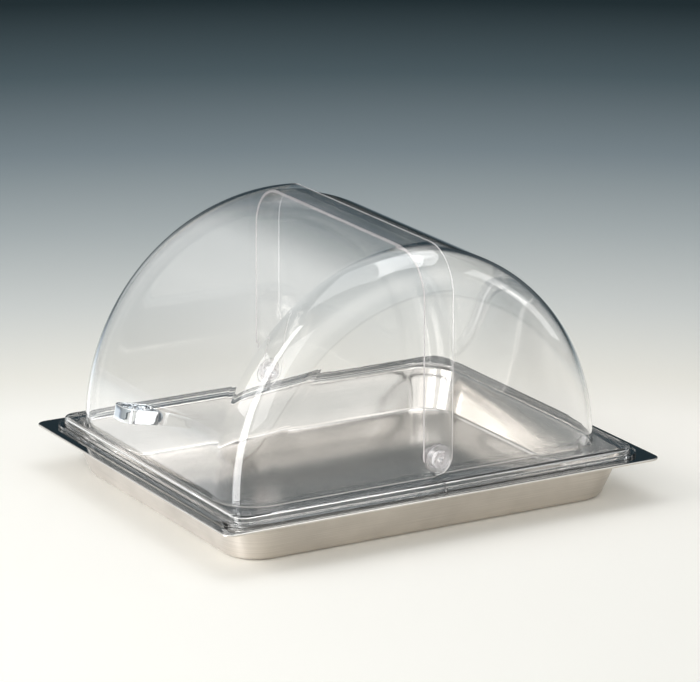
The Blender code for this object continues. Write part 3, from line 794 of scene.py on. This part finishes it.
def split_long(path, longest):
    """The same path with extra points, so that no step is longer than given."""
    steps = np.ceil(np.linalg.norm(np.diff(path, axis=0), axis=1) / longest).astype(int).clip(1)
    knots = np.concatenate(([0], np.cumsum(steps)))
    at = np.arange(knots[-1] + 1)
    return np.column_stack([np.interp(at, knots, path[:, axis]) for axis in range(path.shape[1])])


print("a rounded right angle:", rounded_path([(0, 0), (1, 0), (1, 1)], [0.5], 2).round(3).tolist())

# %% Level lines round the tray
FLOOR_EDGE = RIM_WIDTH + WALL_LEAN
CORNER_FACES, SHORT_FACES, LONG_FACES = 14, 24, 30  # round a corner, and along each kind of side


def tray_rings(profile):
    """Each (inset, height) of the profile becomes a closed level line round the tray.

    The line's half sides are the tray's less the inset, and its corner radius follows the inset.
    """
    inset, height = profile[:, 0], profile[:, 1]
    corner = np.interp(
        inset, (0, RIM_WIDTH, FLOOR_EDGE, TRAY_WIDTH / 2), (RIM_CORNER, MOUTH_CORNER, FLOOR_CORNER, 0)
    )
    half_x, half_y = TRAY_LENGTH / 2 - inset, TRAY_WIDTH / 2 - inset
    a = np.radians(np.linspace(0, 90, CORNER_FACES + 1))
    turned_x, turned_y = corner[:, None] * np.cos(a), corner[:, None] * np.sin(a)
    centre_x, centre_y = (half_x - corner)[:, None], (half_y - corner)[:, None]
    short = np.linspace(-1, 1, SHORT_FACES + 1)[1:-1] * centre_y
    long = np.linspace(1, -1, LONG_FACES + 1)[1:-1] * centre_x
    x = [half_x[:, None] + 0 * short, centre_x + turned_x, long, -centre_x - turned_x[:, ::-1]]
    y = [short, centre_y + turned_y, half_y[:, None] + 0 * long, centre_y + turned_y[:, ::-1]]
    x = np.concatenate(x + [-part for part in x], axis=1)
    y = np.concatenate(y + [-part for part in y], axis=1)
    ring = np.stack((x, y, height[:, None] + 0 * x), axis=-1)
    return np.concatenate((ring, ring[:, :1]), axis=1)


print("points in each line:", tray_rings(np.array([(0, TRAY_HEIGHT)])).shape[1])

# %% The drawn tray
LONGEST_STEP = 12 * MM
middle = TRAY_WIDTH / 2
wall_lean = math.atan2(WALL_LEAN, TRAY_HEIGHT - SHEET)
inner_step = SHEET / math.cos(wall_lean) - SHEET * math.tan(wall_lean)
hem_bend = 0.7 * MM
under = rounded_path(
    [
        (middle, 0),
        (FLOOR_EDGE, 0),
        (RIM_WIDTH, TRAY_HEIGHT - SHEET),
        (HEM_WIDTH, TRAY_HEIGHT - SHEET),
        (HEM_WIDTH, TRAY_HEIGHT - 2 * SHEET),
        (0, TRAY_HEIGHT - 2 * SHEET),
        (0, TRAY_HEIGHT - SHEET),
    ],
    [FLOOR_ROUND + SHEET, RIM_BEND, 0.2 * MM, 0.3 * MM, hem_bend],
    steps=8,
)
over = rounded_path(
    [
        (0, TRAY_HEIGHT - SHEET),
        (0, TRAY_HEIGHT),
        (RIM_WIDTH + inner_step, TRAY_HEIGHT),
        (FLOOR_EDGE + inner_step, SHEET),
        (middle, SHEET),
    ],
    [hem_bend, RIM_BEND + SHEET, FLOOR_ROUND],
    steps=8,
)
top_side = split_long(over, LONGEST_STEP)
mouth = int(np.argmax(top_side[:, 1] < TRAY_HEIGHT - 0.1 * MM))
mouth += int(np.argmax(top_side[mouth:, 0] > RIM_WIDTH))
drawn_tray = make_piece(
    "drawn_tray",
    [
        (tray_rings(split_long(under, LONGEST_STEP)), 0),
        (tray_rings(top_side[: mouth + 1]), 1),
        (tray_rings(top_side[mouth:]), 2),
    ],
    [satin_steel, polished_steel, inside_steel],
)
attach(drawn_tray, "tray")
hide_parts("tray")
print("the polished rim ends", round(1000 * top_side[mouth, 0], 1), "mm inside the edge")

# %% [markdown]
# ## Turned pieces
# Bush, pin and clip of each pivot, and the screws and washers of the grip, are all turned on a lathe or
# moulded round. Each is a profile in radius and height, carried once round its axis. A frame of three
# directions puts it in place: sideways, up, and outwards along the axis.

# %% From a profile to a turned piece


def turned(profile, place, outward, up, longest=1.5 * MM, steps=56):
    """Point (r, h) of the profile at angle a becomes place + r cos a * across + r sin a * up + h * outward."""
    profile = split_long(np.asarray(profile, float), longest)
    outward, up = np.asarray(outward, float), np.asarray(up, float)
    across = np.cross(up, outward)
    a = np.radians(np.linspace(0, 360, steps + 1))[None, :, None]
    r, h = profile[:, 0][:, None, None], profile[:, 1][:, None, None]
    return np.asarray(place) + r * (np.cos(a) * across + np.sin(a) * up) + h * outward


disc = turned([(0, 0), (1 * MM, 0)], (0, 0, 0), (0, -1, 0), (0, 0, 1))
print("a turned line makes a grid of", disc.shape)

# %% The pivots' profiles
SEAT = 0.3 * MM  # the gap between two seated pieces
FLANGE_R, FLANGE_T, SLEEVE_R, BORE = 13 * MM, 3.5 * MM, 6 * MM, 3.3 * MM
SLEEVE_END = -(2 * WALL + 3 * MM + 2.5 * MM)
PIN_HEAD_R, PIN_HEAD_T, PIN_R = 8.2 * MM, 4.5 * MM, 3 * MM
DISH_R, DISH_RIM_R, DISH_DEPTH, PIN_TIP = 4.2 * MM, 5.0 * MM, 0.8 * MM, 0.8 * MM
CLIP_R, CLIP_T = 7.5 * MM, 3 * MM
bush_face = SEAT + FLANGE_T
head_seat = bush_face + SEAT
head_top = head_seat + PIN_HEAD_T
clip_near = SLEEVE_END - SEAT
clip_far = clip_near - CLIP_T
bush_profile = rounded_path(
    [
        (BORE, bush_face),
        (FLANGE_R, bush_face),
        (FLANGE_R, SEAT),
        (SLEEVE_R, SEAT),
        (SLEEVE_R, SLEEVE_END),
        (BORE, SLEEVE_END),
        (BORE, bush_face),
    ],
    [1.2 * MM, 0.3 * MM, 0.2 * MM, 0.3 * MM, 0.2 * MM],
    steps=5,
)
pin_profile = rounded_path(
    [
        (0, head_top - DISH_DEPTH),
        (DISH_R, head_top - DISH_DEPTH),
        (DISH_RIM_R, head_top),
        (PIN_HEAD_R, head_top),
        (PIN_HEAD_R, head_seat),
        (PIN_R, head_seat),
        (PIN_R, clip_far - PIN_TIP),
        (0, clip_far - PIN_TIP),
    ],
    [0.8 * MM, 0.5 * MM, 1.5 * MM, 0.3 * MM, 0.2 * MM, 0.5 * MM],
    steps=6,
)
clip_profile = rounded_path(
    [(BORE, clip_near), (CLIP_R, clip_near), (CLIP_R, clip_far), (BORE, clip_far), (BORE, clip_near)],
    [0.3 * MM, 0.8 * MM, 0.3 * MM],
    steps=5,
)
print("a pivot is", round(1000 * (head_top - clip_far + PIN_TIP), 1), "mm long")

# %% Both pivots
for end, toward in (("front", -1.0), ("rear", 1.0)):
    seat_place = (SEAM_X, toward * ROLLING["depth"], PIVOT_Z)
    for part, profile in (("bush", bush_profile), ("pin", pin_profile), ("clip", clip_profile)):
        grid = turned(profile, seat_place, (0, toward, 0), (0, 0, 1))
        piece = make_piece(f"{end}_{part}", [(grid, 0)], [pivot_plastic])
        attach(piece, "fixed_cover")
        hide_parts(f"{end}_pivot_{part}")

# %% [markdown]
# ## Chrome and zinc
# The grip is chromed: a nearly perfect mirror, so its look is all surroundings, with the faintest orange peel
# of the polished metal under the plating. The screws and washers are plated with bright zinc, which is a
# little bluish and uneven.

# %% Plated metals


def plated_metal(name, tone, worn, rough, rough_worn, relief, scale):
    """Metal with patchy roughness and a shallow relief at a given scale."""
    made, tree = new_material(name)
    place = add_node(tree, "ShaderNodeTexCoord")
    patches = add_node(
        tree, "ShaderNodeTexNoise", {"Vector": place.outputs["Object"], "Scale": scale, "Detail": 4.0}
    )
    tint = add_node(
        tree, "ShaderNodeMix", {0: patches.outputs[0], 6: colour(tone), 7: colour(worn)}, data_type="RGBA"
    )
    rough_here = add_node(
        tree,
        "ShaderNodeMapRange",
        {
            "Value": patches.outputs[0],
            "From Min": 0.35,
            "From Max": 0.75,
            "To Min": rough,
            "To Max": rough_worn,
        },
    )
    peel = add_node(
        tree, "ShaderNodeBump", {"Height": patches.outputs[0], "Strength": relief, "Distance": 0.0002}
    )
    metal = add_node(
        tree,
        "ShaderNodeBsdfPrincipled",
        {
            "Base Color": tint.outputs[2],
            "Metallic": 1.0,
            "Roughness": rough_here.outputs[0],
            "Normal": peel.outputs[0],
        },
    )
    add_node(tree, "ShaderNodeOutputMaterial", {"Surface": metal.outputs[0]})
    return made


chrome = plated_metal("bright_chrome_plate", "EDEFF1", "E2E5E8", 0.02, 0.06, 0.03, 180.0)
zinc = plated_metal("bright_zinc_plate", "C4C9CF", "AEB4BA", 0.22, 0.38, 0.15, 700.0)
print("plated metals:", [made.name for made in (chrome, zinc)])

# %% [markdown]
# ## The grip
# A chromed strap is bent into an open ring, with both feet turned in flat against the cover and a threaded
# boss behind each. Its section, a flat rectangle with rounded edges, is carried along the bent line. It
# stands square on the curved cover, so the line is drawn flat first and then leaned with the cover.

# %% Where the grip stands, and the line of its bend
GRIP_WIDTH, GRIP_REACH, GRIP_RISE = 28 * MM, 36 * MM, 43 * MM
FOOT_BEND, FOOT_TIP = 4 * MM, 4 * MM
BEND_SHARE = 0.39  # radius of the two outer bends, as a share of the width
STRAP_T, STRAP_H, STRAP_ROUND = 2.4 * MM, 13 * MM, 0.7 * MM
SCREW_Y = 7 * MM
grip_lean = math.asin(GRIP_RISE / ROLLING["radius"])
grip_foot = np.array((SEAM_X - ROLLING["radius"] * math.cos(grip_lean), 0.0, ARCH_Z + GRIP_RISE))
grip_out = np.array((-math.cos(grip_lean), 0.0, math.sin(grip_lean)))
grip_up = np.array((math.sin(grip_lean), 0.0, math.cos(grip_lean)))

half_strap = STRAP_T / 2
side_y, crest_out = GRIP_WIDTH / 2 - half_strap, SEAT + GRIP_REACH - half_strap
foot_out, bow_bend = SEAT + half_strap, BEND_SHARE * GRIP_WIDTH - half_strap
bow_line = rounded_path(
    [
        (foot_out, FOOT_TIP),
        (foot_out, side_y),
        (crest_out, side_y),
        (crest_out, -side_y),
        (foot_out, -side_y),
        (foot_out, -FOOT_TIP),
    ],
    [FOOT_BEND - half_strap, bow_bend, bow_bend, FOOT_BEND - half_strap],
    steps=18,
)
bow_line = split_long(bow_line, longest=2 * MM)
print("the grip leans", round(math.degrees(grip_lean), 1), "degrees with the cover")

# %% The strap's section, and the frame it is bent in


def strap_section(thickness, height, edge, steps):
    """A closed rectangle with quarter-round corners, as (across the strap, along its height)."""
    t, h = thickness / 2 - edge, height / 2 - edge
    corners = [arc((t, h), edge, 0, 90, steps), arc((-t, h), edge, 90, 180, steps)]
    corners += [arc((-t, -h), edge, 180, 270, steps), arc((t, -h), edge, 270, 360, steps)]
    loop = np.concatenate(corners)
    return split_long(np.concatenate((loop, loop[:1])), longest=3 * MM)


def in_grip_frame(out, y, up):
    """Distance out from the cover, along Y, and up along the cover, as a place in the frame."""
    out, y, up = (part[..., None] for part in np.broadcast_arrays(out, y, up))
    return grip_foot + out * grip_out + y * np.array((0.0, 1.0, 0.0)) + up * grip_up


print("points round the strap:", len(strap_section(STRAP_T, STRAP_H, STRAP_ROUND, 4)))

# %% The ring
run = np.gradient(bow_line, axis=0)
run /= np.linalg.norm(run, axis=1, keepdims=True)
aside = np.column_stack((-run[:, 1], run[:, 0]))
section = strap_section(STRAP_T, STRAP_H, STRAP_ROUND, 4)
flat = bow_line[:, None, :] + section[None, :, :1] * aside[:, None, :]
strap = in_grip_frame(flat[..., 0], flat[..., 1], section[None, :, 1])
caps = [strip(strap[end], np.broadcast_to(strap[end].mean(axis=0), strap[end].shape), 2) for end in (0, -1)]
grip_ring = make_piece("grip_ring", [(grid, 0) for grid in (strap, *caps)], [chrome])
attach(grip_ring, "rolling_cover")
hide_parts("grip_bow")
print("grip crest, mm out:", round(1000 * flat[..., 0].max(), 2))

# %% The threaded bosses
BOSS_R = 3.4 * MM
boss_start, boss_end = SEAT + STRAP_T - 0.4 * MM, SEAT + 7.5 * MM
boss_profile = rounded_path(
    [(0, boss_start), (BOSS_R, boss_start), (BOSS_R, boss_end), (0, boss_end)], [0.2 * MM, 0.6 * MM], steps=5
)
bosses = [
    (turned(boss_profile, grip_foot + (0, toward * SCREW_Y, 0), grip_out, grip_up), 0) for toward in (-1, 1)
]
grip_bosses = make_piece("grip_bosses", bosses, [chrome])
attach(grip_bosses, "rolling_cover")

# %% [markdown]
# ## Screws and washers
# Two screws come through the cover from inside and hold the grip. Seen through the plastic, they are the
# small bright dots behind it. A recess in each head takes the driver.

# %% Their profiles
WASHER_R, WASHER_HOLE, WASHER_T = 5 * MM, 2.3 * MM, 1 * MM
SCREW_R, HEAD_R, HEAD_T, SCREW_REACH = 2 * MM, 3.8 * MM, 2.4 * MM, 6 * MM
RECESS = 1.2 * MM
washer_near = -(WALL + SEAT)
washer_far = washer_near - WASHER_T
head_near = washer_far - SEAT
head_far = head_near - HEAD_T
washer_profile = rounded_path(
    [
        (WASHER_HOLE, washer_near),
        (WASHER_R, washer_near),
        (WASHER_R, washer_far),
        (WASHER_HOLE, washer_far),
        (WASHER_HOLE, washer_near),
    ],
    [0.2 * MM, 0.3 * MM, 0.2 * MM],
    steps=4,
)
screw_profile = rounded_path(
    [
        (0, SCREW_REACH),
        (SCREW_R, SCREW_REACH),
        (SCREW_R, head_near),
        (HEAD_R, head_near),
        (HEAD_R, (head_near + head_far) / 2),
        (RECESS, head_far),
        (RECESS, head_far + RECESS),
        (0, head_far + RECESS),
    ],
    [0.5 * MM, 0.15 * MM, 0.3 * MM, 0.6 * MM, 0.2 * MM, 0.1 * MM],
    steps=4,
)
print("screw heads stand", round(-1000 * head_far - 1000 * WALL, 1), "mm inside the cover")

# %% Both screws and washers
for end, toward in (("front", -1), ("rear", 1)):
    seat_place = grip_foot + (0, toward * SCREW_Y, 0)
    for part, profile in (("washer", washer_profile), ("screw", screw_profile)):
        grid = turned(profile, seat_place, grip_out, grip_up, longest=1 * MM, steps=40)
        piece = make_piece(f"{end}_{part}", [(grid, 0)], [zinc])
        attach(piece, "rolling_cover")
        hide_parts(f"{end}_grip_{part}")
